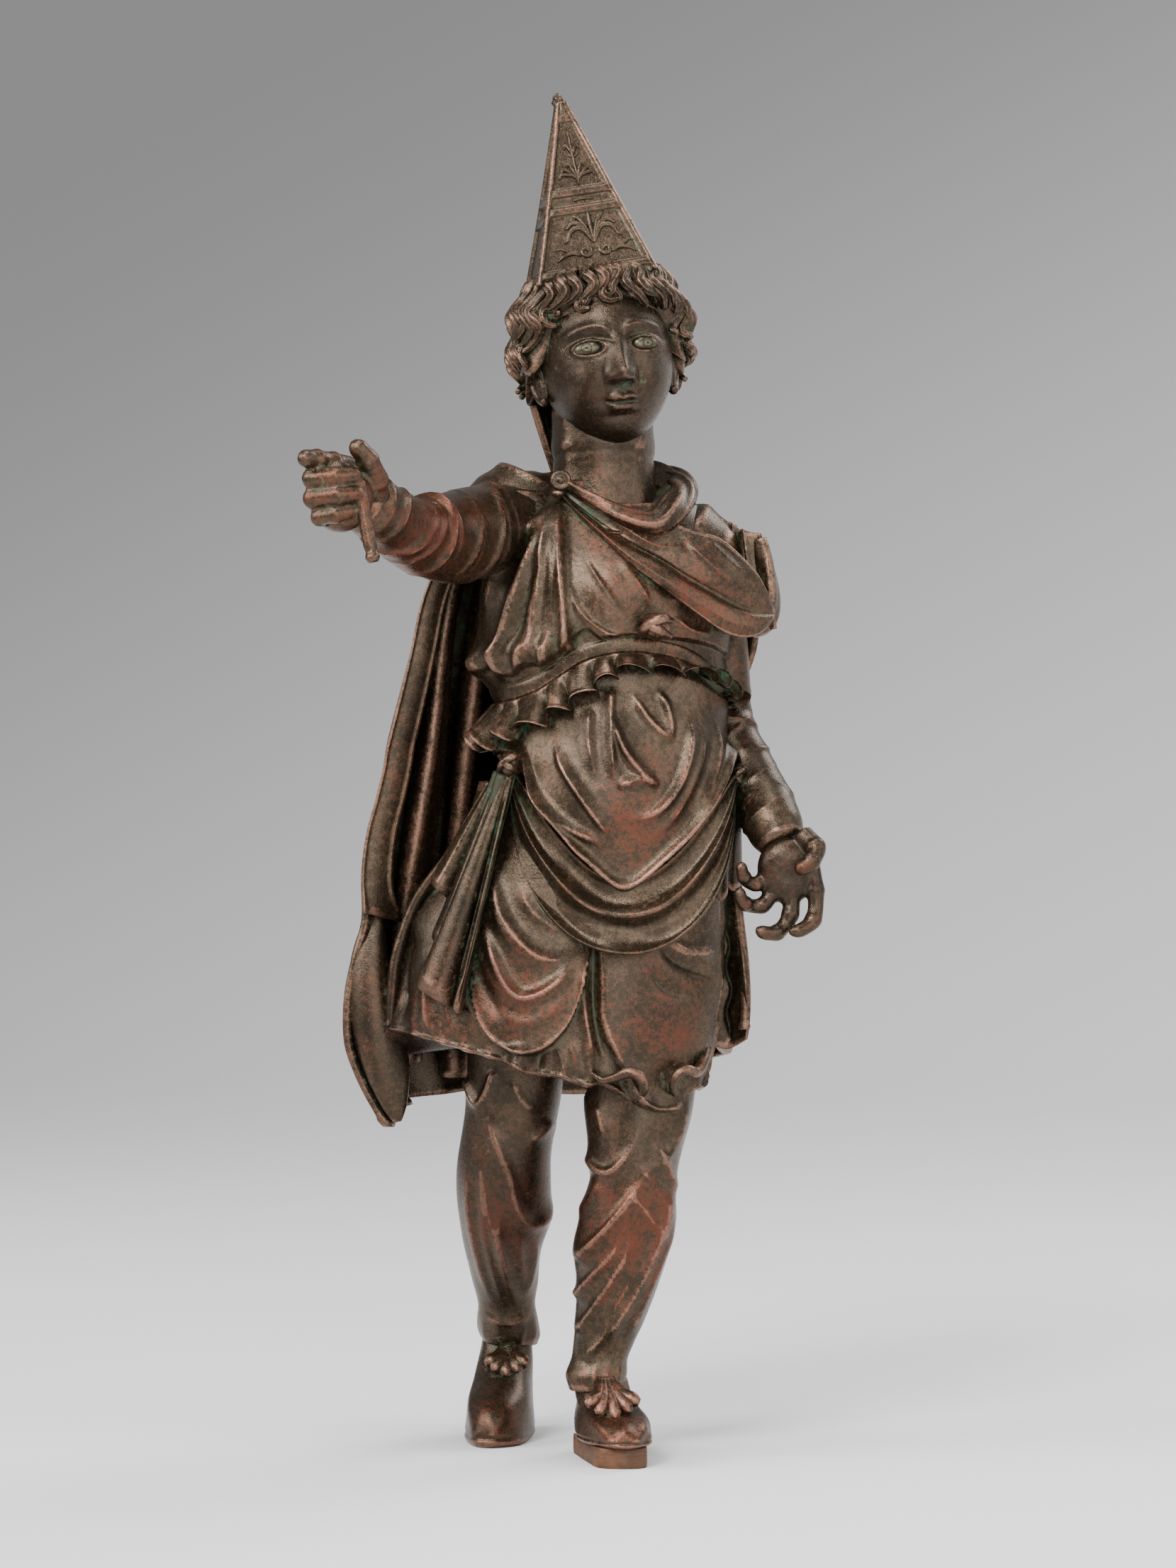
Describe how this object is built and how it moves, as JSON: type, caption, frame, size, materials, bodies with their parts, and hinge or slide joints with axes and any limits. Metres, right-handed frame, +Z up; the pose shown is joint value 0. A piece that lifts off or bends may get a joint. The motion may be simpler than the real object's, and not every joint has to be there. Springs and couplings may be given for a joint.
{
  "type": "bronze boy figure",
  "caption": "Standing cast bronze boy in eastern dress with a tall four-sided hat, cloak, belted tunic and trousers, one arm held out.",
  "frame": {"origin": "on the floor, under the middle of the whole figure, arm and cloak included", "axes": "+Z up through the hat; the boy faces -Y and his right arm reaches out towards -X and -Y"},
  "size_m": [0.2329, 0.2673, 0.6297],
  "materials": {
    "bronze": "dark brown patina, glossy where rubbed, red-brown on raised folds, green in the hollows",
    "block": "smooth satin brown filler toned to the bronze",
    "inlay": "tarnished silver with a ringed iris"
  },
  "bodies": {
    "root": {"figure": "bronze", "sole_block": "block", "eye_inlay_right": "inlay", "eye_inlay_left": "inlay"}
  },
  "joints": []
}
